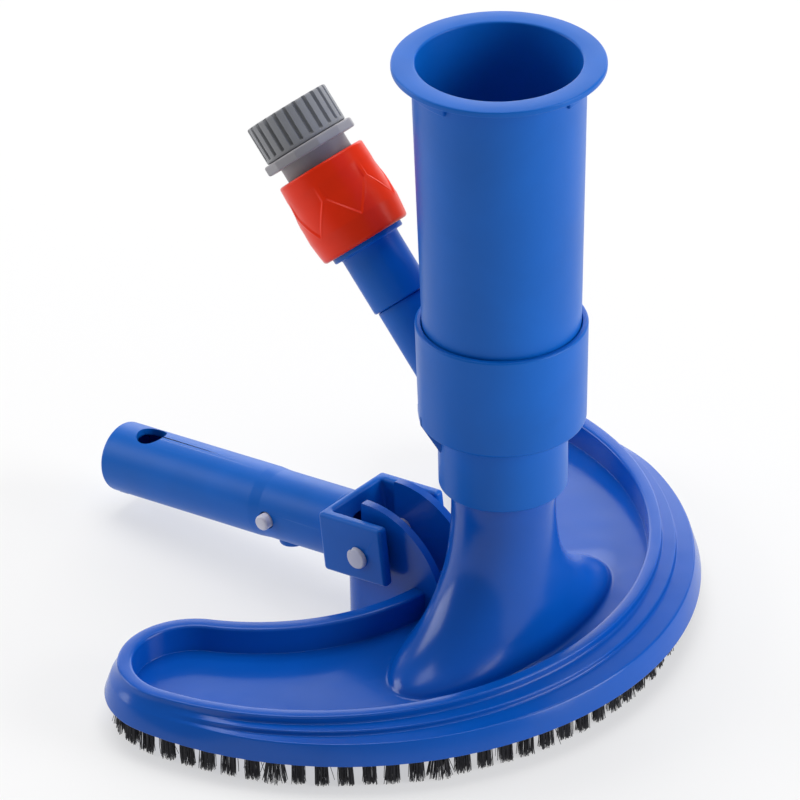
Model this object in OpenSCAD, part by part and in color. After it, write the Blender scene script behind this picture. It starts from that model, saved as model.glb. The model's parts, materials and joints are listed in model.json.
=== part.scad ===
// Manual suction vacuum head with a hose jet inlet, a bag tube and a swinging pole handle.
// X runs from horn to horn, +Y points to the handle, Z = 0 is the floor under the tuft tips.

/* [Head] */
// Distance from the middle plane to each horn's centre
lobe_x = 97.3; // [90:0.1:105]
// Corner radius of each horn at the skirt's bottom edge
lobe_r = 32.3; // [30:0.1:34]
// How far the tuft tips reach below the skirt
bristle_drop = 12; // [9:0.5:15]
// Height of the tray's rim above the skirt's bottom edge
rim_h = 13.5; // [12.5:0.1:15]
// Thickness of the moulded walls
wall = 2.4; // [2.2:0.1:2.8]

/* [Funnel and neck] */
// Half width of the funnel where it leaves the tray
foot_half_w = 57.5; // [50:0.5:60]
// Outside radius of the neck
neck_r = 19; // [18.5:0.1:19.5]
// Radius of the neck's throat
throat_r = 16.4; // [15:0.1:16.6]

/* [Bag tube] */
// Outside radius of the tube under its flange
tube_top_r = 31; // [30.5:0.1:31.5]
// Outside radius of the tube where it enters the collar
tube_low_r = 28.6; // [28.4:0.1:28.8]
// Radius of the tube's flange
flange_r = 37.9; // [35:0.1:42]
// Height of the tube's flange above the skirt's bottom edge
tube_top_z = 238; // [200:1:260]

/* [Hose inlet] */
// Angle of the hose inlet above the horizontal
inlet_tilt = 48.9; // [47:0.1:50]
// Radius of the orange sleeve at its widest
sleeve_r = 18.3; // [17.8:0.1:18.6]
// Radius of the hose nut
nut_r = 16.3; // [15.8:0.1:17]

/* [Handle] */
// Angle the handle hangs below the horizontal
droop = 6.2; // [5.8:0.1:6.6]
// Length of the handle from its pivot
handle_l = 133.4; // [125:0.1:160]
// Outside radius of the pole tube
pole_r = 13.5; // [13.3:0.05:13.6]
// Width of the handle's yoke
yoke_w = 37.4; // [36.8:0.1:38.5]

/* [Hidden] */
$fn = 72;
eps = 0.02;

deep_blue = [0.08, 0.27, 0.70];
satin_blue = [0.13, 0.35, 0.67];
black = [0.10, 0.10, 0.12];
grey = [0.50, 0.52, 0.54];
nut_grey = [0.57, 0.56, 0.58];
orange = [0.84, 0.24, 0.10];
white = [0.86, 0.86, 0.88];
steel = [0.70, 0.71, 0.73];

// The head's outline: a front arc, two horn arcs and a hollow rear arc, all tangent.
lobe_y = 67.2;
rear_y = 114.5;
skirt_yc = 72.1;
steps = [[0, 4.5, skirt_yc, lobe_r], [4.5, 8.2, 73.3, lobe_r - 1.7],
    [8.2, 10.2, 81.8, lobe_r - 2.8], [10.2, rim_h, 86.4, lobe_r - 5.3]];
channel = [73.3, lobe_r - 1.7 - wall];
cavity = [85.5, 21.6];
floor_top = 3;
tuft_path = [73.6, lobe_r - 6.1];
tuft_n = 24;
tuft_pitch = 8.5;

// The funnel runs from an oval foot on the tray's floor up to the round neck.
foot_front = 25;
foot_rear = 24;
funnel_top = 58;
neck_top = 90;

// The collar steps from the neck to the bag tube and carries the jets' water chamber.
collar_low = 68;
collar_step = 93;
collar_top = 135;
chamber_z = 96;
jet_z = 112;
jet_r = 22.5;
seat_z = 115;

inlet_y = 1.7;
inlet_z = 76.3;
stub_end = 67.2;
ring_z = 90.2;
ring_t = 2.5;
sleeve_z = 92.2;
sleeve_end = 124.3;
connector_flange_z = 129.7;
nut_z = 133.6;
nut_end = 148.4;

pivot_y = 54.1;
pivot_z = 22.6;
pin_r = 3.5;
pin_head_r = 4.3;
fin_in = 8;
fin_out = 11.2;
yoke_rear = 17.65;
yoke_front = -13.8;
yoke_top = 14.1;
yoke_low = -10.05;
tube_axis_n = -0.6;
clip_h = 50;
rear_reach = pivot_y + handle_l * cos(droop) + pole_r * sin(droop);
front_reach = lobe_r + norm([lobe_x, lobe_y - skirt_yc]) - skirt_yc;
origin_y = (front_reach - rear_reach) / 2;

function dist(yc) = norm([lobe_x, yc - lobe_y]);
function arc(cx, cy, r, a0, a1, n) =
    [for (i = [0:n - 1]) [cx + r * cos(a0 + (a1 - a0) * i / n), cy + r * sin(a0 + (a1 - a0) * i / n)]];
// Angles at which the horn arcs meet the front arc and the rear arc
function front_a(yc) = atan2(lobe_y - yc, lobe_x);
function rear_a() = atan2(rear_y - lobe_y, -lobe_x);

function crescent(yc, rho) = concat(
    arc(0, yc, rho + dist(yc), 180 - front_a(yc), 360 + front_a(yc), 72),
    arc(lobe_x, lobe_y, rho, front_a(yc), rear_a(), 24),
    arc(0, rear_y, dist(rear_y) - rho, rear_a() - 180, -rear_a(), 40),
    arc(-lobe_x, lobe_y, rho, 180 - rear_a(), 180 - front_a(yc), 24));

// A point on the tufts' line, s degrees either side of straight ahead, and its heading
function on_path(s) = let (yc = tuft_path[0], rho = tuft_path[1], r = rho + dist(yc),
        a_end = 90 + front_a(yc), a = abs(s))
    a <= a_end
    ? [sign(s) * r * sin(a), yc - r * cos(a), s]
    : let (b = (a - a_end) * r / rho + a_end)
        [sign(s) * (lobe_x + rho * sin(b)), lobe_y - rho * cos(b), sign(s) * b];
function tuft_step() = tuft_pitch / (tuft_path[1] + dist(tuft_path[0])) * 180 / PI;

module row_frame() translate([0, origin_y, bristle_drop]) children();
module inlet_frame() translate([0, inlet_y, inlet_z]) rotate([inlet_tilt - 90, 0, 0]) children();
module handle_frame() translate([0, pivot_y, pivot_z]) rotate([-droop, 0, 0]) children();
module along_x(l, r, x = 0) translate([x, 0, 0]) rotate([0, 90, 0]) cylinder(h = l, r = r);
module ring(r_out, r_in, z0, z1) translate([0, 0, z0]) difference() {
    cylinder(h = z1 - z0, r = r_out);
    translate([0, 0, -1]) cylinder(h = z1 - z0 + 2, r = r_in);
}
module o_ring(r_mid, r_minor, z) translate([0, 0, z])
    rotate_extrude() translate([r_mid, 0]) circle(r = r_minor, $fn = 24);

// One level of the funnel: an oval whose front and rear depths differ, easing into a circle.
// Its foot stands nearly upright, then turns over into a hollow flare.
funnel_line = [[3, 1], [4.5, 0.99], [6, 0.965], [7.5, 0.915], [9, 0.84], [11, 0.735], [14, 0.612],
    [18, 0.48], [23, 0.352], [29, 0.232], [36, 0.132], [44, 0.059], [52, 0.015], [58, 0]];
funnel_levels = [for (p = funnel_line) p[0]];
function ease(z) = lookup(z, funnel_line);
function funnel_ring(z, inset, n = 64) = let (g = ease(z), r0 = neck_r - 0.4,
        a = r0 + (foot_half_w - r0) * g - inset * (1 + 0.5 * g))
    [for (i = [0:n - 1]) let (t = 360 * i / n,
            b = r0 + ((sin(t) < 0 ? foot_front : foot_rear) - r0) * g - inset)
        [a * cos(t), b * sin(t) + 2 * g, z]];

module loft(rings) {
    n = len(rings[0]);
    m = len(rings);
    polyhedron(
        points = [for (r = rings) each r],
        faces = concat(
            [[for (i = [0:n - 1]) i]],
            [for (k = [0:m - 2], i = [0:n - 1]) let (j = (i + 1) % n)
                each [[k * n + i, (k + 1) * n + i, (k + 1) * n + j], [k * n + i, (k + 1) * n + j, k * n + j]]],
            [[for (i = [0:n - 1]) (m - 1) * n + n - 1 - i]]));
}

// Pivot fins: two plates that rise from the funnel's back and end in a half-round heel
fin_arc = arc(54, 7.5, 33.5, 83, 172, 18);
module fin_outline() polygon(concat(
    [[14, 4], [38, 1], [50, -bristle_drop], [59.8, -bristle_drop], [59.8, 10.2], [58.4, 10.2],
        [58.4, 40.2]], fin_arc));

module fins() {
    for (x = [-fin_out, fin_in]) translate([x, 0, 0]) rotate([90, 0, 90])
        linear_extrude(fin_out - fin_in) fin_outline();
    translate([0, 59.8, 0]) intersection() {
        ring(fin_out, fin_in, -bristle_drop, 10.2);
        translate([-20, 0, -20]) cube([40, 20, 40]);
    }
}

module tray() difference() {
    for (s = steps) translate([0, 0, s[0]])
        linear_extrude(s[1] - s[0]) polygon(crescent(s[2], s[3]));
    translate([0, 0, floor_top]) linear_extrude(20) polygon(crescent(cavity[0], cavity[1]));
    translate([0, 0, -1]) linear_extrude(7) difference() {
        polygon(crescent(channel[0], channel[1]));
        polygon(crescent(cavity[0], cavity[1] + wall));
    }
}

module head_shell() color(deep_blue) row_frame() difference() {
    union() {
        tray();
        loft([for (z = concat(1, funnel_levels)) funnel_ring(z, 0)]);
        translate([0, 0, funnel_top - 0.3]) cylinder(h = neck_top - funnel_top + 0.3, r = neck_r);
        fins();
    }
    loft([for (z = concat(-1, funnel_levels)) funnel_ring(z, wall)]);
    translate([0, 0, funnel_top - 0.3]) cylinder(h = 50, r = throat_r);
    translate([0, 0, 83.2]) ring(neck_r + 1, 17.45, 0, 1.7);
    translate([0, pivot_y, pivot_z]) along_x(60, pin_r + 0.05, -30);
}

// The strip that fills the channel under the front rim and holds the tufts
module brush_strip() color(black) row_frame() translate([0, 0, 0.4]) linear_extrude(5.3)
    difference() {
        polygon(crescent(channel[0], channel[1] - 0.1));
        polygon(crescent(cavity[0], cavity[1] + wall + 0.1));
        translate([0, rear_y]) circle(r = 86);
    }

module tuft(s) {
    p = on_path(s);
    translate([p[0], p[1], -bristle_drop]) rotate(p[2]) translate([0, 0, (bristle_drop + 0.4) / 2])
        cube([5, 3.5, bristle_drop + 0.4], center = true);
}
support = [-19, -13, -7, 0, 7, 13, 19];
module tufts_support() color(black) row_frame()
    for (k = support) tuft(k * tuft_step());
module tufts_front() color(black) row_frame()
    for (k = [-tuft_n:tuft_n]) if (len(search(k, support)) == 0) tuft(k * tuft_step());

module neck_seal() color(black) row_frame() o_ring(18.25, 0.75, 84.05);

// The jet ring closes the water chamber and turns the water upwards through small jets
module jet_ring() color(grey) row_frame() difference() {
    union() {
        ring(neck_r, 16.9, neck_top + 0.2, jet_z + 1);
        ring(28.15, 16.9, jet_z, seat_z);
    }
    for (a = [0:45:315]) rotate(a) translate([jet_r, 0, jet_z - 1]) cylinder(h = 6, r = 1.1, $fn = 24);
}

module collar() color(satin_blue) row_frame() difference() {
    union() {
        rotate_extrude() polygon([[0, collar_low], [22.9, collar_low], [23.4, collar_low + 0.6],
            [23.5, collar_step - 1], [24.6, collar_step], [29.4, 95.2], [30.4, 96.6], [31.1, 133.6],
            [30.7, 134.7], [29.9, collar_top], [0, collar_top]]);
        inlet_frame() translate([0, 0, 16]) cylinder(h = stub_end - 16, r = 10.3);
        translate([0, 0, collar_low + 4]) rotate([90, 0, 90]) translate([0, 0, -4])
            linear_extrude(8) polygon([[15, 0], [23.4, 0], [29, 21], [29, 30], [15, 30]]);
        rotate(135) translate([0, 5, 0]) rotate([90, 0, 0])
            linear_extrude(10) polygon([[19, 84], [23.3, 84], [30.1, 96], [30.1, 99], [19, 99]]);
    }
    translate([0, 0, collar_low - 1]) cylinder(h = 40, r = neck_r + 0.06);
    translate([0, 0, chamber_z]) cylinder(h = 30, r = 28.2);
    translate([0, 0, seat_z]) cylinder(h = 21, r1 = 28.5, r2 = 29.2);
    inlet_frame() translate([0, 0, 37]) cylinder(h = 40, r = 4.5);
    inlet_frame() translate([0, 0, 50]) cylinder(h = 20, r = 8.25);
}

function tube_r(z) = tube_low_r + (tube_top_r - tube_low_r) * (z - collar_top) / (tube_top_z - collar_top);
module tube_seal() color(black) row_frame() o_ring(27.9, 0.75, 124);

// The bag tube: a slightly tapered pipe with a flange and raised pads that grip the bag's ring
module debris_tube() color(satin_blue) row_frame() {
    top = tube_top_z + 1.2;
    difference() {
        union() {
            translate([0, 0, seat_z + 0.1]) cylinder(h = top - 0.4 - seat_z, r1 = tube_r(seat_z), r2 = tube_r(top));
            ring(flange_r, 29, top - 2.3, top);
            difference() {
                ring(tube_top_r + 1.1, 30, top - 8.3, top - 2.2);
                for (a = [-135, 45]) rotate(a - 43.5) translate([0, 0, top - 10]) rotate_extrude(angle = 87)
                    translate([25, 0]) square([10, 7.7]);
            }
        }
        translate([0, 0, seat_z - 1]) cylinder(h = 110.2, r1 = 26.1, r2 = 28.6);
        translate([0, 0, seat_z + 109]) cylinder(h = 30, r = 29.4);
        translate([0, 0, 123.1]) ring(40, 27.1, 0, 1.8);
    }
}

module inlet_spigot() color(satin_blue) row_frame() inlet_frame() difference() {
    union() {
        translate([0, 0, 52]) cylinder(h = 20, r = 8.2);
        translate([0, 0, stub_end + 0.1]) cylinder(h = ring_z - stub_end, r = 11.5);
        translate([0, 0, ring_z]) cylinder(h = ring_t, r = 14.2);
        translate([0, 0, ring_z]) cylinder(h = 21.8, r = 8.6);
    }
    translate([0, 0, 50]) cylinder(h = 70, r = 4.5);
    ring(12, 6.7, 57.2, 58.8);
    ring(12, 7.2, 100, 103.4);
    ring(12, 7.2, 107.3, 108.9);
}

module spigot_seal() color(black) row_frame() inlet_frame() o_ring(7.45, 0.72, 58);
module connector_seal() color(black) row_frame() inlet_frame() o_ring(7.93, 0.72, 108.1);

// The hose connector's grey body: a socket over the spigot, a flange, and a tail for the hose
module connector_body() color(grey) row_frame() inlet_frame() difference() {
    union() {
        translate([0, 0, 93.4]) cylinder(h = 36, r = 11.2);
        ring(13.2, 8, 117, connector_flange_z + 0.1);
        translate([0, 0, connector_flange_z]) cylinder(h = 3.8, r = 18.5, $fn = 12);
        translate([0, 0, nut_z - 0.2]) cylinder(h = 8, r = 13.4);
        translate([0, 0, nut_z]) cylinder(h = 13.1, r = 6.4);
    }
    translate([0, 0, 93]) cylinder(h = 20, r = 8.68);
    translate([0, 0, 100.1]) cylinder(h = 3.2, r = 10);
    translate([0, 0, 112]) cylinder(h = 40, r = 5);
    ring(11.7, 6.4, 136, 142);
}

// The flexible claws that hold the spigot's groove
module catch_ring() color(white) row_frame() inlet_frame() ring(9.9, 7.35, 100.4, 103);

function coil_point(t, r, turns, l) = [r * cos(360 * turns * t), r * sin(360 * turns * t), l * t];
module coil(r, w, turns, l, n = 72, m = 8) loft([for (k = [0:n]) let (t = k / n, a = 360 * turns * t)
    [for (i = [0:m - 1]) let (b = -360 * i / m)
        coil_point(t, r + w * cos(b), turns, l) + [0, 0, w * sin(b)]]]);
module connector_spring() color(steel) row_frame() inlet_frame() translate([0, 0, 111.2])
    coil(12.35, 0.45, 3, 4.7);

// The orange sleeve: slightly barrelled, with an inner ledge under the spring. Its mouth
// reaches over the spigot's ring.
module connector_sleeve() color(orange) row_frame() inlet_frame() difference() {
    union() {
        translate([0, 0, sleeve_z]) cylinder(h = 9.3, r1 = sleeve_r - 0.9, r2 = sleeve_r);
        translate([0, 0, sleeve_z + 9.3]) cylinder(h = sleeve_end - sleeve_z - 9.3, r1 = sleeve_r, r2 = sleeve_r - 1);
    }
    translate([0, 0, 90]) cylinder(h = 40, r = 11.5);
    translate([0, 0, 110.5]) cylinder(h = 20, r = 13.6);
    translate([0, 0, 90]) cylinder(h = 12, r = 12.4);
    translate([0, 0, 90]) cylinder(h = 3.1, r = 14.6);
}

module hose_nut() color(nut_grey) row_frame() inlet_frame() difference() {
    translate([0, 0, nut_z]) cylinder(h = nut_end - nut_z, r = nut_r);
    translate([0, 0, nut_z - 1]) cylinder(h = 10.5, r = 13.6);
    translate([0, 0, nut_z + 9]) cylinder(h = 3, r1 = 13.6, r2 = 10);
    translate([0, 0, nut_z]) cylinder(h = 20, r = 10);
    for (a = [0:15:345]) rotate(a) translate([nut_r + 0.35, 0, nut_z + 1.6])
        cylinder(h = 20, r = 0.95, $fn = 16);
}

// The handle: a square yoke and a hollow pole tube, closed at its far end, in one moulding.
// The clip goes in through the hole in the yoke's back wall.
module handle() color(satin_blue) row_frame() handle_frame() difference() {
    union() {
        difference() {
            translate([-yoke_w / 2, yoke_front, yoke_low])
                cube([yoke_w, yoke_rear - yoke_front, yoke_top - yoke_low]);
            translate([4.5 - yoke_w / 2, yoke_front - 1, yoke_low - 1])
                cube([yoke_w - 9, yoke_rear - yoke_front - 2, 40]);
            for (x = [-1, 1]) translate([x * yoke_w / 2, yoke_rear, -20]) rotate(45)
                cube([3, 3, 80], center = true);
        }
        translate([0, yoke_rear - 1, tube_axis_n]) rotate([-90, 0, 0]) {
            cylinder(h = handle_l - yoke_rear + 1, r = pole_r - 0.4);
            cylinder(h = 3.2, r = pole_r + 0.2);
            translate([0, 0, 54.5 - yoke_rear + 1]) cylinder(h = 3, r1 = pole_r - 0.4, r2 = pole_r);
            translate([0, 0, 57.5 - yoke_rear + 1]) cylinder(h = handle_l - 57.5, r = pole_r);
        }
    }
    translate([0, yoke_rear + 2, tube_axis_n]) rotate([-90, 0, 0])
        cylinder(h = handle_l - yoke_rear - 6.4, r = 11);
    translate([0, yoke_rear - 6, tube_axis_n]) rotate([-90, 0, 0]) cylinder(h = 20, r = 8.6);
    translate([-20, yoke_rear - 4, yoke_low - 10]) cube([40, 5.3, 10]);
    translate([0, 117, 0]) cylinder(h = 20, r = 5.85);
    translate([0, clip_h, tube_axis_n]) along_x(40, 3.05, -20);
    along_x(60, pin_r + 0.05, -30);
}

// The sprung clip inside the tube and the two buttons it pushes out
module clip_leg(s) linear_extrude(7, center = true)
    polygon([[s * 0.6, 88], [s * 8.3, 46], [s * 8.3, 41], [s * 7.5, 41], [s * 7.5, 46], [-s * 0.2, 88]]);
module clip_spring() color(steel) row_frame() handle_frame() translate([0, 0, tube_axis_n]) {
    clip_leg(1);
    clip_leg(-1);
    linear_extrude(7, center = true) translate([-0.8, 87.6]) square([1.6, 1]);
}
module clip_button(s) color(white) row_frame() handle_frame() translate([0, clip_h, tube_axis_n])
    mirror([s < 0 ? 1 : 0, 0, 0]) {
        along_x(7.5, 3, 8.6);
        along_x(0.9, 4, 8.6);
    }
module clip_button_left() clip_button(-1);
module clip_button_right() clip_button(1);

// The pivot pin has a head on one side and is held by a cap on the other
module pivot_pin() color(white) row_frame() handle_frame() {
    along_x(yoke_w + 3.4, pin_r, -yoke_w / 2 - 1.7);
    along_x(1.5, pin_head_r, -yoke_w / 2 - 1.7);
}
module pin_retainer() color(white) row_frame() handle_frame() difference() {
    along_x(1.5, pin_head_r, yoke_w / 2 + 0.2);
    along_x(30, pin_r + 0.02, 0);
}

head_shell();
brush_strip();
tufts_support();
tufts_front();
neck_seal();
jet_ring();
collar();
tube_seal();
debris_tube();
inlet_spigot();
spigot_seal();
connector_body();
connector_seal();
catch_ring();
connector_spring();
connector_sleeve();
hose_nut();
handle();
clip_spring();
clip_button_left();
clip_button_right();
pivot_pin();
pin_retainer();
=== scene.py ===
import json
import math
import random

import bmesh
import bpy
from mathutils import Matrix, Vector
from mathutils.geometry import delaunay_2d_cdt


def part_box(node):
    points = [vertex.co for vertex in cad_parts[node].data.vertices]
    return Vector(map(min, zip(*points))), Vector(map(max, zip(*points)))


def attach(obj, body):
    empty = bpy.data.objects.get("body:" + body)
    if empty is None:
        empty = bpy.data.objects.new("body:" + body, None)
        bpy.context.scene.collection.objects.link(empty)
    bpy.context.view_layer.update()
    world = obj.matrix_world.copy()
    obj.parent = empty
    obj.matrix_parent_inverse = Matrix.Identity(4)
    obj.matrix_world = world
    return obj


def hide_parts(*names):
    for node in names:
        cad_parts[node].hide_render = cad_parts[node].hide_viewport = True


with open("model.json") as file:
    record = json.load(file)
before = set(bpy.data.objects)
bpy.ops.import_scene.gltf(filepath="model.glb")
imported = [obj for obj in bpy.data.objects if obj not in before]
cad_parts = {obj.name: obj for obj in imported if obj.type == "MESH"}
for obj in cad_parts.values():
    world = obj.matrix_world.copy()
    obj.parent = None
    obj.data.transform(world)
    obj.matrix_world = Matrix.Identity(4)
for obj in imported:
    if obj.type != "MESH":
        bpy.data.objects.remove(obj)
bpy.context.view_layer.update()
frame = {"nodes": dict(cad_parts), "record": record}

MM = 0.001

# The head frame, in millimetres: X from horn to horn, +Y to the handle, Z = 0 at the skirt's
# bottom edge and the bag tube on the Z axis. SHIFT takes it to the shared frame.
tube_lo, tube_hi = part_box("debris_tube")
TUBE_TOP = 239.2
SHIFT = Vector((0.0, (tube_lo.y + tube_hi.y) / 2 / MM, tube_hi.z / MM - TUBE_TOP))


# ---------------------------------------------------------------- camera, light and floor

def make_camera():
    """A long lens from the left front and above."""
    cam = bpy.data.objects.new("camera", bpy.data.cameras.new("camera"))
    bpy.context.scene.collection.objects.link(cam)
    bpy.context.scene.camera = cam
    cam.data.sensor_width = 36.0
    cam.data.lens = 284.3
    cam.data.clip_start = 0.1
    cam.data.clip_end = 200.0
    right = Vector((0.6348, -0.7725, -0.0170)).normalized()
    back = Vector((-0.6561, -0.5506, 0.5161)).normalized()
    up = back.cross(right).normalized()
    right = up.cross(back)
    place = Matrix((right, up, back)).transposed().to_4x4()
    place.translation = (Vector((-1512.3, -1221.1, 1273.2)) + SHIFT) * MM
    cam.matrix_world = place


def area_light(name, where, target, size, power):
    """A rectangular softbox that faces its target; all places are in metres."""
    data = bpy.data.lights.new(name, "AREA")
    data.shape = "RECTANGLE"
    data.size, data.size_y = size
    data.energy = power
    lamp = bpy.data.objects.new(name, data)
    bpy.context.scene.collection.objects.link(lamp)
    lamp.location = where
    lamp.rotation_euler = (Vector(target) - Vector(where)).to_track_quat("-Z", "Y").to_euler()


def make_light():
    """Softboxes to the left, to the right and above, and a pale backdrop behind."""
    world = bpy.data.worlds.new("studio")
    bpy.context.scene.world = world
    world.use_nodes = True
    shade = world.node_tree.nodes["Background"]
    shade.inputs["Color"].default_value = (1.0, 1.0, 1.0, 1.0)
    shade.inputs["Strength"].default_value = 0.22
    bpy.context.scene.view_settings.view_transform = "Standard"
    area_light("left_softbox", (-0.75, 1.75, 0.75), (0, 0, 0.10), (1.1, 1.2), 16)
    area_light("right_softbox", (0.75, -1.75, 0.75), (0, 0, 0.10), (1.2, 1.2), 27)
    area_light("top_softbox", (0.35, 0.25, 1.9), (0, 0, 0.05), (1.5, 1.5), 24)
    area_light("backdrop", (1.9, 1.6, 0.8), (0, 0, 0.15), (3.4, 1.5), 38)


def make_floor():
    """A wide pale floor that glows a little, so that it stays near white without hard shadows."""
    me = bpy.data.meshes.new("floor")
    half = 30.0
    me.from_pydata([(-half, -half, 0), (half, -half, 0), (half, half, 0), (-half, half, 0)], [],
                   [(0, 1, 2, 3)])
    ob = bpy.data.objects.new("floor", me)
    bpy.context.scene.collection.objects.link(ob)
    mat = bpy.data.materials.new("studio_floor")
    mat.use_nodes = True
    bsdf = mat.node_tree.nodes["Principled BSDF"]
    bsdf.inputs["Base Color"].default_value = (0.36, 0.36, 0.36, 1)
    bsdf.inputs["Roughness"].default_value = 0.9
    bsdf.inputs["Specular IOR Level"].default_value = 0.1
    bsdf.inputs["Emission Color"].default_value = (1.0, 1.0, 1.0, 1)
    bsdf.inputs["Emission Strength"].default_value = 0.54
    me.materials.append(mat)


# ---------------------------------------------------------------- materials

def noise(tree, scale, detail, distortion=0.0):
    """A noise pattern in the object's own space."""
    where = tree.nodes.new("ShaderNodeTexCoord")
    texture = tree.nodes.new("ShaderNodeTexNoise")
    texture.inputs["Scale"].default_value = scale
    texture.inputs["Detail"].default_value = detail
    texture.inputs["Distortion"].default_value = distortion
    tree.links.new(where.outputs["Object"], texture.inputs["Vector"])
    return texture.outputs["Fac"]


def remap(tree, value, **limits):
    """Maps a value into other limits: from_min, from_max, to_min and to_max."""
    node = tree.nodes.new("ShaderNodeMapRange")
    for key, limit in limits.items():
        node.inputs[key.replace("_", " ").title()].default_value = limit
    tree.links.new(value, node.inputs["Value"])
    return node.outputs["Result"]


def bump(tree, height, strength, distance):
    node = tree.nodes.new("ShaderNodeBump")
    node.inputs["Strength"].default_value = strength
    node.inputs["Distance"].default_value = distance
    tree.links.new(height, node.inputs["Height"])
    return node


def plastic(name, colour, roughness, grain=0.00015, orange_peel=0.0, spread=0.10, metallic=0.0,
            mottling=28.0, wear=0.0, subsurface=0.0, shine=0.5):
    """Moulded plastic: faint flow marks in the colour, uneven gloss and a fine surface grain."""
    mat = bpy.data.materials.new(name)
    mat.use_nodes = True
    tree = mat.node_tree
    link = tree.links.new
    bsdf = tree.nodes["Principled BSDF"]
    bsdf.inputs["Metallic"].default_value = metallic
    bsdf.inputs["Specular IOR Level"].default_value = shine
    if subsurface:
        bsdf.inputs["Subsurface Weight"].default_value = subsurface
        bsdf.inputs["Subsurface Radius"].default_value = (0.004, 0.004, 0.004)

    ramp = tree.nodes.new("ShaderNodeValToRGB")
    dark, light = ramp.color_ramp.elements
    dark.position, light.position = 0.30, 0.72
    dark.color = [c * (1 - spread) for c in colour] + [1]
    light.color = [min(1.0, c * (1 + spread)) for c in colour] + [1]
    link(noise(tree, mottling, 4.0, 0.6), ramp.inputs["Fac"])
    tint = ramp.outputs["Color"]

    if wear:
        scuffed = tree.nodes.new("ShaderNodeMix")
        scuffed.data_type = "RGBA"
        amount = remap(tree, noise(tree, 160.0, 6.0), from_min=0.62, from_max=0.80, to_max=wear)
        link(amount, scuffed.inputs["Factor"])
        link(tint, scuffed.inputs["A"])
        scuffed.inputs["B"].default_value = [min(1.0, c * 1.25 + 0.03) for c in colour] + [1]
        tint = scuffed.outputs["Result"]
    link(tint, bsdf.inputs["Base Color"])

    gloss = remap(tree, noise(tree, 90.0, 5.0), to_min=roughness * 0.85, to_max=roughness * 1.18)
    link(gloss, bsdf.inputs["Roughness"])

    surface = bump(tree, noise(tree, 1500.0, 2.0), 0.5, grain)
    if orange_peel:
        wave = bump(tree, noise(tree, 55.0, 1.0), 1.0, orange_peel)
        link(surface.outputs["Normal"], wave.inputs["Normal"])
        surface = wave
    link(surface.outputs["Normal"], bsdf.inputs["Normal"])
    return mat


MATS = {
    "deep_blue": plastic("deep_blue_gloss", (0.001, 0.084, 0.450), 0.21, grain=0.00001,
                         orange_peel=0.00012, spread=0.06, wear=0.03, shine=0.32),
    "satin_blue": plastic("satin_blue", (0.001, 0.114, 0.51), 0.36, grain=0.00002,
                          orange_peel=0.00008, spread=0.06, wear=0.04, shine=0.22),
    "black": plastic("black_nylon", (0.012, 0.012, 0.018), 0.45, grain=0.0001, spread=0.3,
                     mottling=300.0),
    "rubber": plastic("black_rubber", (0.02, 0.02, 0.02), 0.6, grain=0.0001, spread=0.2),
    "grey": plastic("grey_plastic", (0.31, 0.30, 0.32), 0.42, grain=0.00004, wear=0.10, shine=0.3),
    "nut_grey": plastic("nut_grey_plastic", (0.265, 0.27, 0.285), 0.42, grain=0.00004, wear=0.10,
                        shine=0.3),
    "orange": plastic("orange_gloss", (0.86, 0.026, 0.0005), 0.30, grain=0.00002,
                      orange_peel=0.00010, spread=0.06, shine=0.25),
    "white": plastic("white_nylon", (0.62, 0.62, 0.72), 0.45, grain=0.00010, orange_peel=0.0008,
                     wear=0.15, subsurface=0.15),
    "steel": plastic("spring_steel", (0.55, 0.55, 0.57), 0.28, grain=0.00003, spread=0.15,
                     metallic=1.0),
}


# ---------------------------------------------------------------- mesh helpers

def turned(pts, n=5, closed=True):
    """A polygon of (x, y, radius) corners with its corners rounded."""
    out = []
    m = len(pts)
    for i, (x, y, r) in enumerate(pts):
        if r <= 0 or (not closed and i in (0, m - 1)):
            out.append((x, y))
            continue
        p = Vector((x, y))
        u = Vector(pts[i - 1][:2]) - p
        v = Vector(pts[(i + 1) % m][:2]) - p
        lu, lv = u.length, v.length
        u.normalize()
        v.normalize()
        ang = u.angle(v)
        if ang > math.pi - 0.01:
            out.append((x, y))
            continue
        t = min(r / math.tan(ang / 2), lu * 0.49, lv * 0.49)
        rr = t * math.tan(ang / 2)
        c = p + (u + v).normalized() * (rr / math.sin(ang / 2))
        s = p + u * t - c
        e = p + v * t - c
        a0 = math.atan2(s.y, s.x)
        d = (math.atan2(e.y, e.x) - a0 + math.pi) % (2 * math.pi) - math.pi
        for k in range(n + 1):
            a = a0 + d * k / n
            out.append((c.x + rr * math.cos(a), c.y + rr * math.sin(a)))
    return out


def skin(rings, loop=False, cap=False):
    """Quads between rings of the same number of points, with optional end caps."""
    n = len(rings[0])
    verts = [p for ring in rings for p in ring]
    faces = []
    pairs = list(range(len(rings) - 1)) + ([len(rings) - 1] if loop else [])
    for k in pairs:
        a, b = k * n, ((k + 1) % len(rings)) * n
        for i in range(n):
            j = (i + 1) % n
            faces.append((a + i, a + j, b + j, b + i))
    if cap:
        faces.append(tuple(reversed(range(n))))
        faces.append(tuple(range((len(rings) - 1) * n, len(rings) * n)))
    return verts, faces


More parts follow.
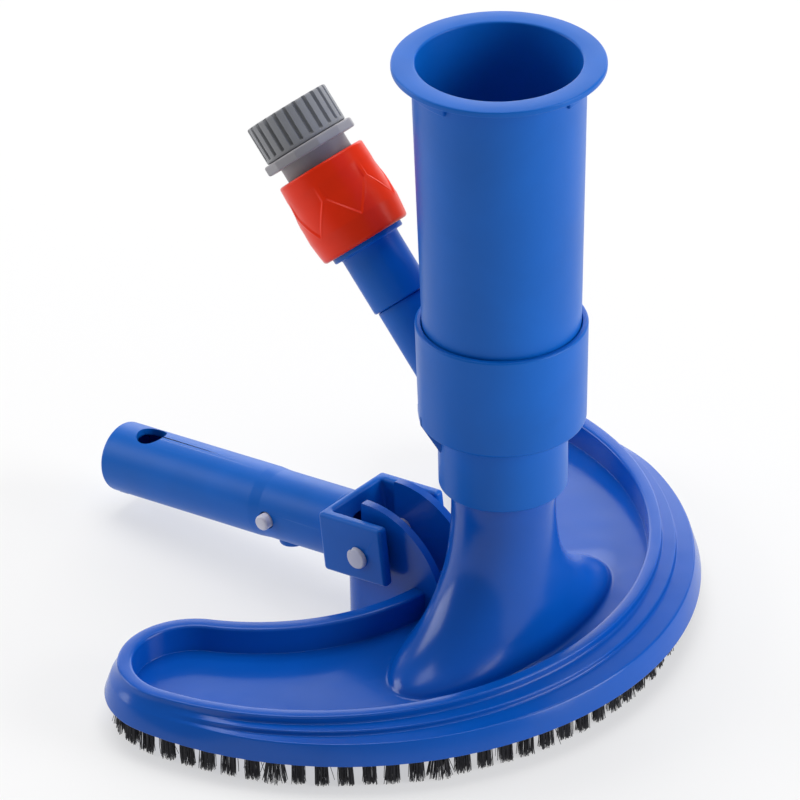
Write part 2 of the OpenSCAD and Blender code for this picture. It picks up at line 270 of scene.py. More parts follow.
def lathe(profile, n=128, loop=True):
    """Turns a profile of (radius, height) about Z. A point on the axis closes the form."""
    verts, rings, faces = [], [], []
    for r, z in profile:
        start = len(verts)
        if r < 1e-6:
            verts.append((0.0, 0.0, z))
            rings.append([start])
            continue
        rings.append(list(range(start, start + n)))
        verts += [(r * math.cos(2 * math.pi * i / n), r * math.sin(2 * math.pi * i / n), z)
                  for i in range(n)]
    follow = rings[1:] + ([rings[0]] if loop else [])
    for a, b in zip(rings, follow):
        for i in range(n):
            j = (i + 1) % n
            if len(a) == 1 and len(b) > 1:
                faces.append((a[0], b[i], b[j]))
            elif len(b) == 1 and len(a) > 1:
                faces.append((a[i], a[j], b[0]))
            elif len(a) > 1:
                faces.append((a[i], a[j], b[j], b[i]))
    return verts, faces


def block(x0, x1, y0, y1, z0, z1):
    """A box between two limits on each axis."""
    verts = [(x, y, z) for z in (z0, z1) for x, y in ((x0, y0), (x1, y0), (x1, y1), (x0, y1))]
    sides = [(i, (i + 1) % 4, (i + 1) % 4 + 4, i + 4) for i in range(4)]
    return verts, [(3, 2, 1, 0), (4, 5, 6, 7)] + sides


def plate(outline, x0, x1):
    """A flat plate with its outline in (y, z), from x0 to x1."""
    n = len(outline)
    verts = [(x0, y, z) for y, z in outline] + [(x1, y, z) for y, z in outline]
    faces = [tuple(range(n)), tuple(reversed(range(n, 2 * n)))]
    faces += [(i, i + n, (i + 1) % n + n, (i + 1) % n) for i in range(n)]
    return verts, faces


def moved(part, place):
    """The part taken somewhere else by a matrix."""
    verts, faces = part
    return [tuple(place @ Vector(v)) for v in verts], faces


def rod(r, z0, z1, place, n=64):
    """A round bar along the Z axis of a matrix, to carve holes with."""
    return moved(lathe([(0, z0), (r, z0), (r, z1), (0, z1)], n, loop=False), place)


def mark_sharp(bm, degrees):
    """Smooth faces all over, with the edges beyond the given angle kept sharp."""
    limit = math.radians(degrees)
    for f in bm.faces:
        f.smooth = True
    for e in bm.edges:
        if len(e.link_faces) == 2:
            e.smooth = e.calc_face_angle(0.0) < limit


def raw(name, parts, weld=0.002):
    """An object in the shared frame, in metres, from parts in head-frame millimetres."""
    bm = bmesh.new()
    for verts, faces in parts:
        made = [bm.verts.new((Vector(v) + SHIFT) * MM) for v in verts]
        for f in faces:
            bm.faces.new([made[i] for i in f])
    bmesh.ops.remove_doubles(bm, verts=bm.verts, dist=weld * MM)
    bmesh.ops.recalc_face_normals(bm, faces=bm.faces)
    me = bpy.data.meshes.new(name)
    bm.to_mesh(me)
    bm.free()
    ob = bpy.data.objects.new(name, me)
    bpy.context.scene.collection.objects.link(ob)
    return ob


def settle(ob):
    """Makes the object's modifiers part of its mesh."""
    shape = bpy.data.meshes.new_from_object(
        ob.evaluated_get(bpy.context.evaluated_depsgraph_get()))
    ob.modifiers.clear()
    old = ob.data
    ob.data = shape
    bpy.data.meshes.remove(old)


def carve(ob, parts, operation="DIFFERENCE"):
    """Cuts parts out of the object, or joins them to it."""
    tool = raw("tool", parts)
    mod = ob.modifiers.new("carve", "BOOLEAN")
    mod.operation = operation
    mod.solver = "EXACT"
    mod.use_self = True
    mod.object = tool
    settle(ob)
    shape = tool.data
    bpy.data.objects.remove(tool)
    bpy.data.meshes.remove(shape)


def soften(ob, width, segments=3, degrees=38.0):
    """Rounds the edges that are sharper than the given angle."""
    mod = ob.modifiers.new("soften", "BEVEL")
    mod.width = width * MM
    mod.segments = segments
    mod.limit_method = "ANGLE"
    mod.angle_limit = math.radians(degrees)
    mod.use_clamp_overlap = True
    mod.miter_outer = "MITER_ARC"
    settle(ob)


def finish_piece(ob, slot, body, nodes, sharp=40.0, weighted=False):
    """Gives the object its material and body, and hides the CAD nodes that it replaces."""
    bm = bmesh.new()
    bm.from_mesh(ob.data)
    mark_sharp(bm, sharp)
    bm.to_mesh(ob.data)
    bm.free()
    ob.data.materials.clear()
    ob.data.materials.append(MATS[slot])
    if weighted:
        mod = ob.modifiers.new("normals", "WEIGHTED_NORMAL")
        mod.keep_sharp = True
        mod.weight = 60
    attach(ob, body)
    if nodes:
        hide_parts(*nodes)
    return ob


# ---------------------------------------------------------------- the head

# Centres of the horns' arcs and of the hollow rear arc, and the head's main heights
LOBE_X, LOBE_Y, REAR_Y = 97.3, 67.2, 114.5
FLOOR_TOP, RIM = 3.0, 13.5
NECK_R, THROAT_R = 19.0, 16.4
NECK_TOP, FUNNEL_TOP = 90.0, 58.0
FOOT_HALF_W, FOOT_FRONT, FOOT_BACK = 57.5, 25.0, 24.0
FEET = -12.0


def lobe_span(yc):
    """Distance from an arc's centre on the Y axis to the centre of a horn."""
    return math.hypot(LOBE_X, yc - LOBE_Y)


def arc_points(cx, cy, r, a0, a1, n):
    """n points on an arc from a0 towards a1 degrees, without its last point."""
    return [(cx + r * math.cos(math.radians(a0 + (a1 - a0) * i / n)),
             cy + r * math.sin(math.radians(a0 + (a1 - a0) * i / n))) for i in range(n)]


def circle(r, z, n=144):
    return [(r * math.cos(2 * math.pi * i / n), r * math.sin(2 * math.pi * i / n), z) for i in range(n)]


REAR_A = math.degrees(math.atan2(REAR_Y - LOBE_Y, -LOBE_X))
FRONT_N, LOBE_N, BACK_N = 168, 56, 80


def crescent(yc, rho):
    """The head's outline: a front arc, two horn arcs and a hollow rear arc, all tangent."""
    fa = math.degrees(math.atan2(LOBE_Y - yc, LOBE_X))
    return (arc_points(0, yc, rho + lobe_span(yc), 180 - fa, 360 + fa, FRONT_N)
            + arc_points(LOBE_X, LOBE_Y, rho, fa, REAR_A, LOBE_N)
            + arc_points(0, REAR_Y, lobe_span(REAR_Y) - rho, REAR_A - 180, -REAR_A, BACK_N)
            + arc_points(-LOBE_X, LOBE_Y, rho, 180 - REAR_A, 180 - fa, LOBE_N))


def rounded_levels(levels, n=4):
    """(yc, rho, z, radius) corners of the rim's section, rounded by short curves."""
    out = []
    m = len(levels)

    def front(p):
        return Vector((p[0] - p[1] - lobe_span(p[0]), p[2]))

    for i, p in enumerate(levels):
        if p[3] <= 0 or i in (0, m - 1):
            out.append(p[:3])
            continue
        a, b = levels[i - 1], levels[i + 1]
        ta = min(0.48, p[3] / max(0.01, (front(a) - front(p)).length))
        tb = min(0.48, p[3] / max(0.01, (front(b) - front(p)).length))
        start = [p[k] + (a[k] - p[k]) * ta for k in range(3)]
        end = [p[k] + (b[k] - p[k]) * tb for k in range(3)]
        for j in range(n + 1):
            t = j / n
            out.append([start[k] * (1 - t) ** 2 + 2 * p[k] * t * (1 - t) + end[k] * t * t
                        for k in range(3)])
    return out


def flare_point(t):
    """The horns' plain flare as (yc, rho, z), from the rim's outer edge down to the skirt."""
    corners = ((27.0, 13.0), (27.9, 8.6), (31.6, 6.4), (32.2, 0.6))
    w = ((1 - t) ** 3, 3 * t * (1 - t) ** 2, 3 * t * t * (1 - t), t ** 3)
    rho = sum(a * c[0] for a, c in zip(w, corners))
    z = sum(a * c[1] for a, c in zip(w, corners))
    return 86.4 + (72.1 - 86.4) * (rho - 27.0) / 5.2, rho, z


def faded_rings(section):
    """The rim's steps run round the front and fade into a plain flare at the horns."""
    first = next(k for k, p in enumerate(section) if p[1] > 26.9 and p[2] < 13.0)
    last = next(k for k, p in enumerate(section) if p[1] > 32.2 and p[2] < 0.6)
    run = [0.0]
    for p, q in zip(section[first:last], section[first + 1:last + 1]):
        run.append(run[-1] + math.hypot(q[1] - p[1], q[2] - p[2]))
    rings = []
    for k, (yc, rho, z) in enumerate(section):
        stepped = crescent(yc, rho)
        if not first <= k <= last:
            rings.append([(x, y, z) for x, y in stepped])
            continue
        fyc, frho, fz = flare_point(run[k - first] / run[-1])
        plain = crescent(fyc, frho)
        ring = []
        for (x, y), (px, py) in zip(stepped, plain):
            heading = abs(math.degrees(math.atan2(x, 73.3 - y)))
            f = min(1.0, max(0.0, (heading - 66) / 18))
            f = f * f * (3 - 2 * f)
            ring.append((x + (px - x) * f, y + (py - y) * f, z + (fz - z) * f))
        rings.append(ring)
    return rings


# The funnel's spread at each height: 1 at its foot, 0 where it has become the round neck
FUNNEL_LINE = [(3, 1), (4.5, 0.985), (6, 0.95), (7.5, 0.89), (9, 0.815), (11, 0.715), (14, 0.597),
               (18, 0.47), (23, 0.349), (29, 0.232), (36, 0.132), (44, 0.059), (52, 0.015), (58, 0)]


def funnel_gain(z):
    """How far the funnel has spread at height z: a standing foot, then a hollow flare."""
    if z <= FUNNEL_LINE[0][0]:
        return 1.0
    if z >= FUNNEL_LINE[-1][0]:
        return 0.0
    k = next(i for i, p in enumerate(FUNNEL_LINE) if p[0] >= z)
    knots = [FUNNEL_LINE[max(0, min(len(FUNNEL_LINE) - 1, k + d))] for d in (-2, -1, 0, 1)]
    (z0, g0), (z1, g1), (z2, g2), (z3, g3) = knots
    m1 = (g2 - g0) / (z2 - z0)
    m2 = (g3 - g1) / (z3 - z1)
    h = z2 - z1
    t = (z - z1) / h
    return ((2 * t ** 3 - 3 * t * t + 1) * g1 + (t ** 3 - 2 * t * t + t) * h * m1
            + (3 * t * t - 2 * t ** 3) * g2 + (t ** 3 - t * t) * h * m2)


def funnel_ring(z, inset=0.0, n=144, out=0.0):
    """One level of the funnel: an oval foot that eases into the round neck."""
    g = funnel_gain(z)
    r0 = NECK_R - 0.4 * min(1.0, g * 8)
    a = r0 + (FOOT_HALF_W - r0) * g - inset * (1 + 0.5 * g) + out
    ring = []
    for i in range(n):
        t = 2 * math.pi * i / n
        depth = FOOT_FRONT if math.sin(t) < 0 else FOOT_BACK
        b = r0 + (depth - r0) * g - inset + out
        ring.append((a * math.cos(t), b * math.sin(t) + 2 * g, z))
    return ring


def inside(pt, polygon):
    """Whether the polygon holds the point."""
    hit = False
    x, y = pt
    for (x0, y0), (x1, y1) in zip(polygon, polygon[1:] + polygon[:1]):
        if (y0 > y) != (y1 > y) and x < (x1 - x0) * (y - y0) / (y1 - y0) + x0:
            hit = not hit
    return hit


def sheet_between(outer, inner, z, step=6.0):
    """A flat triangulated floor between an outer outline and a hole, at height z."""
    pts = [Vector(p) for p in outer] + [Vector(p) for p in inner]
    a, b = len(outer), len(inner)
    edges = [(i, (i + 1) % a) for i in range(a)] + [(a + i, a + (i + 1) % b) for i in range(b)]
    x = -125.0
    while x < 126:
        y = -60.0
        while y < 105:
            p = (x, y)
            if inside(p, outer) and not inside(p, inner):
                if min((Vector(p) - q).length for q in pts[:a + b]) > step * 0.5:
                    pts.append(Vector(p))
            y += step
        x += step
    co, _, tris, *_ = delaunay_2d_cdt(pts, edges, [], 0, 1e-5)
    faces = []
    for tri in tris:
        c = ((co[tri[0]] + co[tri[1]] + co[tri[2]]) / 3)[:]
        if inside(c, outer) and not inside(c, inner):
            faces.append(tuple(tri))
    return [(p.x, p.y, z) for p in co], faces


def make_head():
    """The head's moulding: stepped rim, tray floor, funnel and neck."""
    section = rounded_levels([
        (85.5, 20.9, FLOOR_TOP, 0),
        (85.5, 21.4, FLOOR_TOP, 0.3),
        (85.5, 21.6, RIM, 1.2),
        (86.4, 27.2, RIM, 0.8),
        (86.4, 27.0, 10.2, 1.0),
        (81.8, 29.5, 10.2, 0.6),
        (81.8, 29.5, 8.2, 0.9),
        (73.3, 30.6, 8.2, 0.7),
        (72.1, 32.3, 0.0, 0.5),
        (73.3, 28.2, 0.0, 0.3),
        (73.3, 28.2, 6.0, 0),
        (85.5, 24.0, 6.0, 0),
        (85.5, 24.0, 0.0, 0)])
    parts = [skin(faded_rings(section))]
    foot = funnel_ring(FLOOR_TOP, out=1.6)
    drain = funnel_ring(0.0, inset=2.4)
    parts.append(sheet_between(crescent(85.5, 20.9), [p[:2] for p in foot], FLOOR_TOP))
    parts.append(sheet_between(crescent(85.5, 24.0), [p[:2] for p in drain], 0.0, step=9.0))
    low = (4.8, 5.6, 6.4, 7.2, 8, 8.8, 9.8, 11, 12.4, 14, 16, 18)
    up = low + (20.5, 23, 26, 29, 32.5, 36, 40, 44, 48, 52, 55)
    down = (52, 48, 44, 40, 36, 32, 29, 26, 23, 20) + low[::-1] + (3.5,)
    rings = [foot, funnel_ring(3.15, out=0.8), funnel_ring(3.5, out=0.3), funnel_ring(4.1, out=0.06)]
    rings += [funnel_ring(z) for z in up]
    rings += [circle(NECK_R, FUNNEL_TOP), circle(NECK_R, NECK_TOP - 0.4)]
    rings += [circle(NECK_R - 0.4, NECK_TOP), circle(THROAT_R, NECK_TOP), circle(THROAT_R, FUNNEL_TOP)]
    rings += [funnel_ring(z, inset=2.4) for z in down]
    rings.append(drain)
    parts.append(skin(rings))
    return finish_piece(raw("head_moulding", parts), "deep_blue", "head", ["head_shell"], sharp=50)


FIN_IN, FIN_OUT = 8.0, 11.2
HEEL_Y, HEEL_TOP = 59.6, 10.2
PIN_R = 3.55
PIVOT = Matrix.Translation((0, 54.1, 22.6))
ACROSS = Matrix.Rotation(math.pi / 2, 4, "Y")


def make_fins():
    """The two pivot fins and the half-round heel that joins them."""
    curve = arc_points(54.0, 7.5, 33.5, 83, 172, 48)
    outline = [(14, 4), (38, 1), (50, FEET), (59.8, FEET), (59.8, HEEL_TOP), (58.4, HEEL_TOP),
               (58.4, 40.2)] + curve
    ob = raw("pivot_fins", [plate(outline, -FIN_OUT, -FIN_IN)])
    carve(ob, [plate(outline, FIN_IN, FIN_OUT)], "UNION")
    half = [(math.cos(math.radians(a)), math.sin(math.radians(a))) for a in range(0, 181, 5)]
    ring = [(FIN_OUT * c, HEEL_Y + FIN_OUT * s) for c, s in half]
    ring += [(FIN_IN * c, HEEL_Y + FIN_IN * s) for c, s in half[::-1]]
    n = len(ring)
    heel = ([(x, y, z) for z in (FEET, HEEL_TOP) for x, y in ring],
            [tuple(reversed(range(n))), tuple(range(n, 2 * n))]
            + [(i, (i + 1) % n, (i + 1) % n + n, i + n) for i in range(n)])
    carve(ob, [heel], "UNION")
    carve(ob, [rod(PIN_R, -30, 30, PIVOT @ ACROSS, 48)])
    levels = [-20] + [z for z, _ in FUNNEL_LINE]
    hollow = [funnel_ring(z, inset=1.6, n=96) for z in levels]
    carve(ob, [skin(hollow, cap=True)])
    soften(ob, 0.55, 3)
    return finish_piece(ob, "deep_blue", "head", [], sharp=45, weighted=True)


# ---------------------------------------------------------------- bristles

TUFT_YC, TUFT_RHO, TUFT_PITCH, TUFTS_A_SIDE = 73.6, 26.2, 8.5, 24


def path_point(s):
    """A point on the tufts' line, s degrees from straight ahead, and its heading."""
    yc, rho = TUFT_YC, TUFT_RHO
    r = rho + lobe_span(yc)
    a_end = 90 + math.degrees(math.atan2(LOBE_Y - yc, LOBE_X))
    a, side = abs(s), (1 if s >= 0 else -1)
    if a <= a_end:
        return Vector((side * r * math.sin(math.radians(a)), yc - r * math.cos(math.radians(a)))), s
    b = (a - a_end) * r / rho + a_end
    return Vector((side * (LOBE_X + rho * math.sin(math.radians(b))),
                   LOBE_Y - rho * math.cos(math.radians(b)))), side * b


def bristle(base, tip, bend, r0, r1, sides=5, rings=5):
    """One thin tapering bristle, slightly curved."""
    axis = (tip - base).normalized()
    u = axis.orthogonal().normalized()
    v = axis.cross(u)
    made = []
    for k in range(rings):
        t = k / (rings - 1)
        c = base.lerp(tip, t) + bend * (t * t - t)
        r = r0 + (r1 - r0) * t
        made.append([tuple(c + (u * math.cos(2 * math.pi * i / sides)
                                + v * math.sin(2 * math.pi * i / sides)) * r) for i in range(sides)])
    return skin(made, cap=True)


def make_tufts():
    """Single bristles for every tuft; a few tufts are splayed, and support ones are a piece apart."""
    support = (-19, -13, -7, 0, 7, 13, 19)
    step = math.degrees(TUFT_PITCH / (TUFT_RHO + lobe_span(TUFT_YC)))
    groups = {"bristles_support": [], "bristles_front": []}
    for k in range(-TUFTS_A_SIDE, TUFTS_A_SIDE + 1):
        rng = random.Random(500 + k)
        centre, heading = path_point(k * step)
        along = Vector((math.cos(math.radians(heading)), math.sin(math.radians(heading)), 0))
        across = Vector((-along.y, along.x, 0))
        origin = Vector((centre.x, centre.y, 0))
        splay = 0.5 if k in (-24, -16, -9, 12, 24) else rng.uniform(0.0, 0.12)
        lean = along * rng.uniform(-0.6, 0.6) + across * rng.uniform(-0.6, 0.3)
        for _ in range(95):
            u, v = rng.uniform(-1, 1), rng.uniform(-1, 1)
            base = origin + along * (u * 2.3) + across * (v * 1.5)
            base.z = 0.3
            stray = 1.6 if rng.random() < 0.04 else 0.28
            tip = (base + along * (u * splay * 4 + rng.gauss(0, stray)) + lean
                   + across * (v * splay * 3 + rng.gauss(0, stray * 0.8)))
            tip.z = -11.7 + abs(rng.gauss(0, 0.45)) + (stray > 1) * rng.uniform(0, 2.5)
            bend = (along * rng.gauss(0, 0.9) + across * rng.gauss(0, 0.7))
            radius = rng.uniform(0.13, 0.18)
            kind = "bristles_support" if k in support else "bristles_front"
            groups[kind].append(bristle(base, tip, bend, radius, radius * 0.7))
    for name, parts in groups.items():
        node = name.replace("bristles", "tufts")
        finish_piece(raw(name, parts, weld=0.0001), "black", "head", [node], sharp=180)


# ---------------------------------------------------------------- the collar and the bag tube

def make_tube():
    """The tapered bag tube with its flange and the two raised pads under it."""
    profile = turned([
        (28.14, 115.1, 0.4), (28.32, 123.1, 0), (27.1, 123.1, 0), (27.1, 124.9, 0), (28.36, 124.9, 0),
        (30.95, 236.9, 0.8), (37.9, 236.9, 0.5), (37.9, TUBE_TOP, 0.7), (29.4, TUBE_TOP, 0.8),
        (28.6, 222.0, 3.0), (26.1, 115.1, 0.4)])
    parts = [lathe(profile, 180)]
    for start in (-91.5, 88.5):
        rings = []
        stops = [(0.0, 0.75), (0.2, 0.93), (0.6, 1.0)]
        stops += [(0.6 + 91.8 * i / 30, 1.0) for i in range(1, 30)]
        stops += [(92.4, 1.0), (92.8, 0.93), (93.0, 0.75)]
        for a, f in stops:
            ang = math.radians(start + a)
            section = turned([(30.2, 237.2, 0), (30.2, 230.9, 0), (31.0 + 1.1 * f, 230.9, 0.5),
                              (31.05 + 1.1 * f, 237.2, 0)], 4)
            rings.append([(r * math.cos(ang), r * math.sin(ang), z) for r, z in section])
        parts.append(skin(rings, cap=True))
    return finish_piece(raw("bag_tube", parts), "satin_blue", "head", ["debris_tube"], sharp=50)


# The hose inlet's own frame: Z runs out along its axis
INLET_TILT = 48.9
INLET = Matrix.Translation((0, 1.7, 76.3)) @ Matrix.Rotation(math.radians(INLET_TILT - 90), 4, "X")


def make_collar():
    """The collar with the inlet's stub, the rib behind it and a gusset at its side."""
    profile = turned([
        (19.06, 68, 0.4), (23.45, 68, 0.8), (23.55, 93.2, 0.8), (30.3, 95.4, 1.5), (31.1, 134.9, 0.9),
        (28.85, 134.9, 0.5), (28.5, 115, 0), (28.2, 114.9, 0), (28.2, 96, 0.5), (19.06, 96, 0.4)], 6)
    ob = raw("collar_moulding", [lathe(profile, 180)])
    stub = moved(lathe(turned([(0, 26, 0), (10.3, 26, 0), (10.3, 67.2, 0.5), (8.25, 67.2, 0.3),
                               (8.25, 50, 0), (4.5, 50, 0), (4.5, 27, 0), (0, 27, 0)], closed=False),
                       96, loop=False), INLET)
    carve(ob, [stub], "UNION")
    rib = plate([(15, 72), (23.4, 72), (29, 93), (29, 102), (15, 102)], -4, 4)
    carve(ob, [rib], "UNION")
    gusset = plate([(19, 84), (23.3, 84), (30.2, 96), (30.2, 99), (19, 99)], -5, 5)
    carve(ob, [moved(gusset, Matrix.Rotation(math.radians(45), 4, "Z"))], "UNION")
    core = lathe([(0, 60), (19.06, 60), (19.06, 96), (28.2, 96), (28.2, 115), (28.5, 115.01),
                  (28.8, 134.2), (28.8, 140), (0, 140)], 180, loop=False)
    carve(ob, [core])
    bore = moved(lathe([(0, 20), (4.5, 20), (4.5, 70), (0, 70)], 48, loop=False), INLET)
    carve(ob, [bore])
    return finish_piece(ob, "satin_blue", "head", ["collar"], sharp=45, weighted=True)


# ---------------------------------------------------------------- the hose inlet

def make_spigot():
    """The hose spigot that stands in the stub, with its ring and the grooves for its seals."""
    profile = turned([
        (4.5, 52, 0), (8.2, 52, 0.3), (8.2, 57.2, 0), (6.7, 57.2, 0), (6.7, 58.8, 0), (8.2, 58.8, 0),
        (8.2, 67.3, 0), (11.45, 67.3, 0.7), (11.5, 90.2, 0.5), (14.2, 90.2, 0.7), (14.2, 92.7, 0.7),
        (8.6, 92.7, 0.3), (8.6, 100, 0), (7.2, 100, 0), (7.2, 103.4, 0), (8.6, 103.4, 0),
        (8.6, 107.3, 0), (7.2, 107.3, 0), (7.2, 108.9, 0), (8.6, 108.9, 0), (8.6, 112, 0.6),
        (4.5, 112, 0.3)])
    part = moved(lathe(profile, 128), INLET)
    return finish_piece(raw("inlet_tube", [part]), "satin_blue", "head", ["inlet_spigot"], sharp=50)


def make_connector():
    """The grey body of the quick connector, with a flange that has twelve flats."""
    profile = turned([
        (8.68, 93.4, 0.4), (8.68, 100.1, 0), (10, 100.1, 0), (10, 103.3, 0), (8.68, 103.3, 0),
        (8.68, 112, 0), (5, 112.6, 0), (5, 146.7, 0.4), (6.4, 146.7, 0.6), (6.4, 136, 0),
        (11.7, 136, 0), (11.7, 141.4, 0.3), (13.4, 141.4, 0.4), (13.4, 130.4, 0), (13.2, 129.9, 0.6),
        (13.2, 117, 0.5), (11.2, 117, 0.4), (11.2, 93.4, 0.4)])
    parts = [moved(lathe(profile, 128), INLET)]
    corner = []
    for k in range(12):
        for d in (-3.2, -1.6, 0, 1.6, 3.2):
            flat = math.cos(math.radians(15)) / math.cos(math.radians(15 - abs(d)))
            corner.append((math.radians(30 * k + d), flat * 0.994))
    rings = []
    for r, t in turned([(12.9, 129.7, 0), (18.5, 129.7, 0.7), (18.5, 133.45, 0.8), (12.9, 133.45, 0)], 5):
        radii = [(r * (f if r > 13.5 else 1.0), a) for a, f in corner]
        rings.append([(rr * math.cos(a), rr * math.sin(a), t) for rr, a in radii])
    parts.append(moved(skin(rings, loop=True), INLET))
    return finish_piece(raw("connector_moulding", parts), "grey", "connector", ["connector_body"],
                        sharp=50)


# The sleeve's outer line as (height along the inlet, radius)
SLEEVE_LINE = [(92.2, 17.3), (96.0, 17.8), (98.0, 18.0), (101.0, 18.3), (104.0, 18.25),
               (108.0, 18.1), (112.0, 17.9), (116.0, 17.6), (120.0, 17.4), (124.3, 17.25)]


def sleeve_radius(t, phi):
    """Outer radius of the sleeve: barrelled, with six sunken panels pointed towards its mouth."""
    for (t0, r0), (t1, r1) in zip(SLEEVE_LINE, SLEEVE_LINE[1:]):
        if t <= t1:
            r = r0 + (r1 - r0) * (t - t0) / (t1 - t0)
            break
    off = abs((math.degrees(phi) + 30) % 60 - 30)
    half = min(28.0, (t - 101.0) * 2.5)
    gap = (half - off) * 0.315
    lip = math.exp(-((gap + 0.25) / 0.32) ** 2) * 0.12 * min(1.0, max(0.0, (t - 99.8) / 2.0))
    sink = min(1.0, max(0.0, gap / 0.9))
    sink = sink * sink * (3 - 2 * sink)
    fade = min(1.0, max(0.0, (118.5 - t) / 6.0))
    return r + (lip - 0.42 * sink) * fade


def make_sleeve():
    """The orange grip sleeve, stepped inside for the claws and the spring."""
    n = 360
    start, end = SLEEVE_LINE[0][0], SLEEVE_LINE[-1][0]
    low_r, high_r = 1.1, 0.9
    inner = turned([(13.6, end, 0.3), (13.6, 110.5, 0), (11.5, 110.5, 0), (11.5, 102, 0),
                    (12.4, 102, 0), (12.4, 93.1, 0.2), (14.6, 93.1, 0), (14.6, start, 0.3)], 3, closed=False)
    turns = [math.pi / 8 * k for k in range(4)]
    low = [(start + low_r * (1 - math.cos(a)), low_r * (1 - math.sin(a))) for a in turns]
    high = [(end - high_r * (1 - math.cos(a)), high_r * (1 - math.sin(a))) for a in turns[::-1]]
    straight = end - high_r - start - low_r
    stops = low + [(start + low_r + straight * i / 118, 0.0) for i in range(119)] + high
    rings = []
    for t, inset in stops:
        ring = []
        for i in range(n):
            a = 2 * math.pi * i / n
            r = sleeve_radius(t, a) - inset
            ring.append((r * math.cos(a), r * math.sin(a), t))
        rings.append(ring)
    rings += [circle(r, t, n) for r, t in inner]
    part = moved(skin(rings, loop=True), INLET)
    return finish_piece(raw("grip_sleeve", [part]), "orange", "sleeve", ["connector_sleeve"], sharp=48)


def make_nut():
    """The hose nut: 24 grooves run from near its shoulder out through its free end.

    outer holds (radius, height, share of the groove's depth); groove holds (degrees, depth).
    """
    groove = [(-7.5, 0), (-5.2, 0), (-3.1, 0.02), (-2.8, 0.15), (-2.5, 0.5), (-2.1, 1.1),
              (-1.1, 1.5), (0, 1.6), (1.1, 1.5), (2.1, 1.1), (2.5, 0.5), (2.8, 0.15),
              (3.1, 0.02), (5.2, 0)]
    outer = [(13.6, 133.9, 0), (15.6, 133.6, 0), (16.0, 133.68, 0), (16.25, 133.95, 0), (16.3, 134.3, 0),
             (16.3, 134.9, 0), (16.3, 135.15, 0.4), (16.3, 135.5, 0.8), (16.3, 136.0, 1),
             (16.3, 147.5, 1), (16.2, 148.0, 1), (15.9, 148.3, 1), (15.2, 148.4, 1), (14.5, 148.4, 1)]
    inner = turned([(14.5, 148.4, 0), (10, 148.4, 0.6), (10, 144.5, 0.2), (13.6, 142.3, 0.3),
                    (13.6, 133.9, 0)], 4, closed=False)[1:-1]
    rings = []
    for r, t, share in outer + [(r, t, 0) for r, t in inner]:
        ring = []
        for k in range(24):
            for d, depth in groove:
                a = math.radians(15 * k + d)
                rr = min(r, 16.3 - depth * share)
                ring.append((rr * math.cos(a), rr * math.sin(a), t))
        rings.append(ring)
    part = moved(skin(rings, loop=True), INLET)
    return finish_piece(raw("ribbed_nut", [part]), "nut_grey", "nut", ["hose_nut"], sharp=42)


# ---------------------------------------------------------------- the handle

# The handle's frame has the pin as X and the tube along +Y; POLE has the tube's axis as Z
HANDLE_SAG, AXIS_N, CLIP_Y = 6.2, -0.6, 50
HANDLE = PIVOT @ Matrix.Rotation(math.radians(-HANDLE_SAG), 4, "X")
POLE = HANDLE @ Matrix.Translation((0, 0, AXIS_N)) @ Matrix.Rotation(math.radians(-90), 4, "X")
CLIP = HANDLE @ Matrix.Translation((0, CLIP_Y, AXIS_N))
HANDLE_L, POLE_R = 133.4, 13.5


def make_handle():
    """The yoke and the pole tube in one moulding, hollow, with the holes for pin, clip and cord."""
    ob = raw("handle_moulding", [moved(block(-18.7, 18.7, -12.2, 17.9, -10.05, 14.1), HANDLE)])
    carve(ob, [moved(block(-14.2, 14.2, -15, 14.65, -12, 30), HANDLE)])
    soften(ob, 1.6, 4)
    tube = lathe(turned([
        (0, 16.65, 0), (13.3, 16.65, 0), (13.3, 20.2, 0.4), (13.1, 20.5, 0), (13.1, 53.5, 2.0),
        (POLE_R, 58.5, 2.0), (POLE_R, HANDLE_L, 1.1), (0, HANDLE_L, 0)], closed=False), 128, loop=False)
    carve(ob, [moved(tube, POLE)], "UNION")
    boss = lathe(turned([(0, 10, 0), (5.6, 10, 0), (5.6, 14.2, 0.9), (4.4, 14.9, 1.2), (0, 14.9, 0)],
                        closed=False), 64, loop=False)
    under = Matrix.Translation((0, CLIP_Y - 1, AXIS_N)) @ Matrix.Rotation(math.pi, 4, "X")
    carve(ob, [moved(boss, HANDLE @ under)], "UNION")
    carve(ob, [moved(block(-20, 20, 13.65, 18.95, -20, -10.05), HANDLE)])
    rings = []
    for h, rise in ((127.6, 0.05), (128.2, 0.45), (132.4, 0.45), (132.9, 0.05)):
        arc = [(13.0, a) for a in range(-24, 25, 6)] + [(POLE_R + rise, a) for a in range(24, -25, -6)]
        rings.append([(r * math.sin(math.radians(a)), h, AXIS_N - r * math.cos(math.radians(a)))
                      for r, a in arc])
    carve(ob, [moved(skin(rings, cap=True), HANDLE)], "UNION")
    carve(ob, [rod(11.0, 19.65, HANDLE_L - 4.4, POLE, 128)])
    carve(ob, [rod(7.0, 11.65, 25.0, POLE, 96)])
    carve(ob, [rod(5.85, 0, 20, HANDLE @ Matrix.Translation((0, 117, 0)))])
    carve(ob, [rod(3.5, -20, 20, CLIP @ ACROSS)])
    carve(ob, [rod(PIN_R, -30, 30, HANDLE @ ACROSS)])
    soften(ob, 0.45, 3, degrees=50)
    return finish_piece(ob, "satin_blue", "handle", ["handle"], sharp=42, weighted=True)


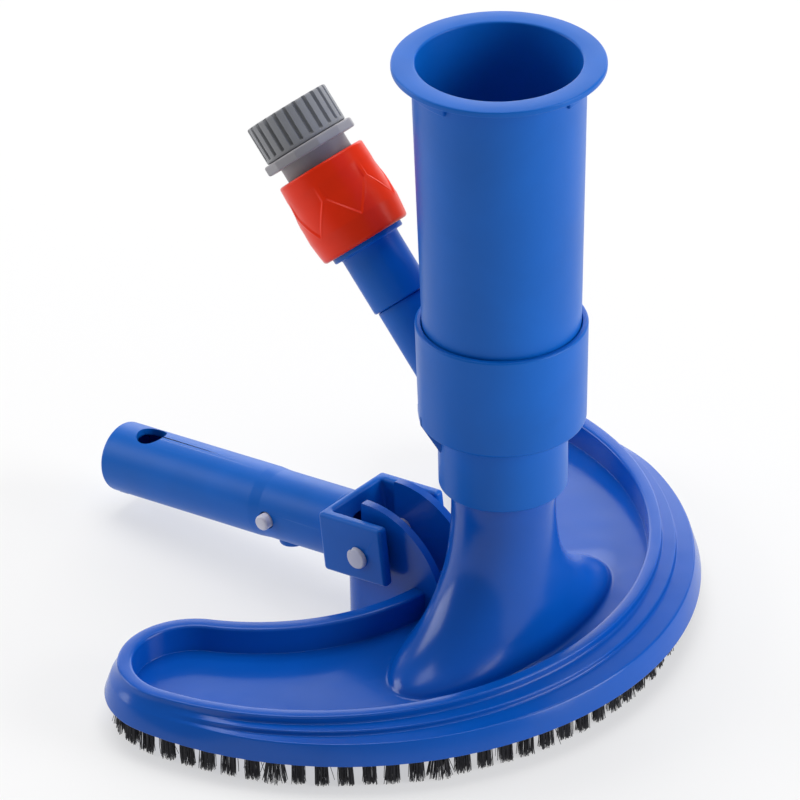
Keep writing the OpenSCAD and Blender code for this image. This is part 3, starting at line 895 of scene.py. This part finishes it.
def make_pin():
    """The pivot pin with its worn, notched head, and the cap on its far end."""
    profile = turned([(0, -20.4, 0), (4.2, -20.4, 0.9), (4.3, -18.9, 0.2), (3.5, -18.9, 0.1),
                      (3.5, 22.1, 0.5), (0, 22.1, 0)], closed=False)
    verts, faces = lathe(profile, 72, loop=False)
    worn = []
    for x, y, z in verts:
        a = math.atan2(y, x)
        dent = 1 + 0.02 * math.sin(3 * a) - 0.30 * math.exp(-((a - 2.5) / 0.20) ** 2) * (z < -18.8)
        worn.append((x * dent, y * dent, z))
    finish_piece(raw("pivot_pin_head", [moved((worn, faces), HANDLE @ ACROSS)]), "white", "handle",
                 ["pivot_pin"], sharp=50)
    cap = lathe(turned([(3.52, 18.9, 0.1), (4.3, 18.9, 0.2), (4.25, 20.4, 0.7), (3.52, 20.4, 0.2)]), 72)
    finish_piece(raw("pin_cap", [moved(cap, HANDLE @ ACROSS)]), "white", "handle", ["pin_retainer"],
                 sharp=50)


def make_buttons():
    """The two round buttons of the clip, one at each side of the tube."""
    profile = turned([(0, 8.6, 0), (4.0, 8.6, 0.2), (4.0, 9.5, 0.2), (3.0, 9.5, 0.2),
                      (3.0, 16.1, 1.0), (0, 16.1, 0)], 6, closed=False)
    stud = lathe(profile, 64, loop=False)
    for turn, side in ((-1, "left"), (1, "right")):
        place = CLIP @ Matrix.Rotation(turn * math.pi / 2, 4, "Y")
        ob = raw("button_" + side + "_stud", [moved(stud, place)])
        finish_piece(ob, "white", "clip_" + side, ["clip_button_" + side], sharp=50)


# ---------------------------------------------------------------- carried-over nodes

def dress_nodes():
    """Finishes for the CAD nodes that keep their own shape."""
    for entry in frame["record"]["subparts"]:
        ob = frame["nodes"][entry["node"]]
        mat = MATS[entry["material_slot"]]
        if not ob.material_slots:
            ob.data.materials.append(mat)
        for slot in ob.material_slots:
            slot.material = mat


make_camera()
make_light()
make_floor()
dress_nodes()
make_head()
make_fins()
make_tufts()
make_tube()
make_collar()
make_spigot()
make_connector()
make_sleeve()
make_nut()
make_handle()
make_pin()
make_buttons()
